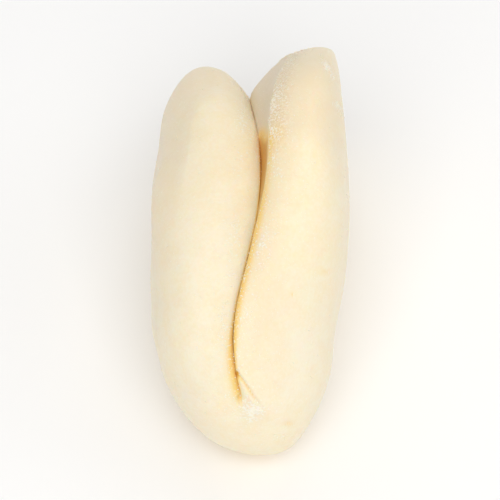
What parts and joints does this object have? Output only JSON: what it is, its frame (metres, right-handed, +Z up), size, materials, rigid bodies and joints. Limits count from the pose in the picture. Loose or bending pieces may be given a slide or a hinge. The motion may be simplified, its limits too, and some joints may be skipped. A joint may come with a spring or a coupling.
{
  "type": "folded steamed bun",
  "caption": "Soft white steamed bun: an oval of dough folded over once into two puffed flaps with a shut slit between them, standing on its fold.",
  "frame": {"origin": "on the floor, under the middle of the bun's box", "axes": "+Z up, +Y along the fold toward the far end, +X from the slit toward the taller right flap"},
  "size_m": [0.0426, 0.095, 0.0672],
  "materials": {
    "steamed_dough": "soft matte steamed dough skin, creamy white with a light dusting of flour at the slit"
  },
  "bodies": {
    "root": {"bun": "steamed_dough"}
  },
  "joints": []
}
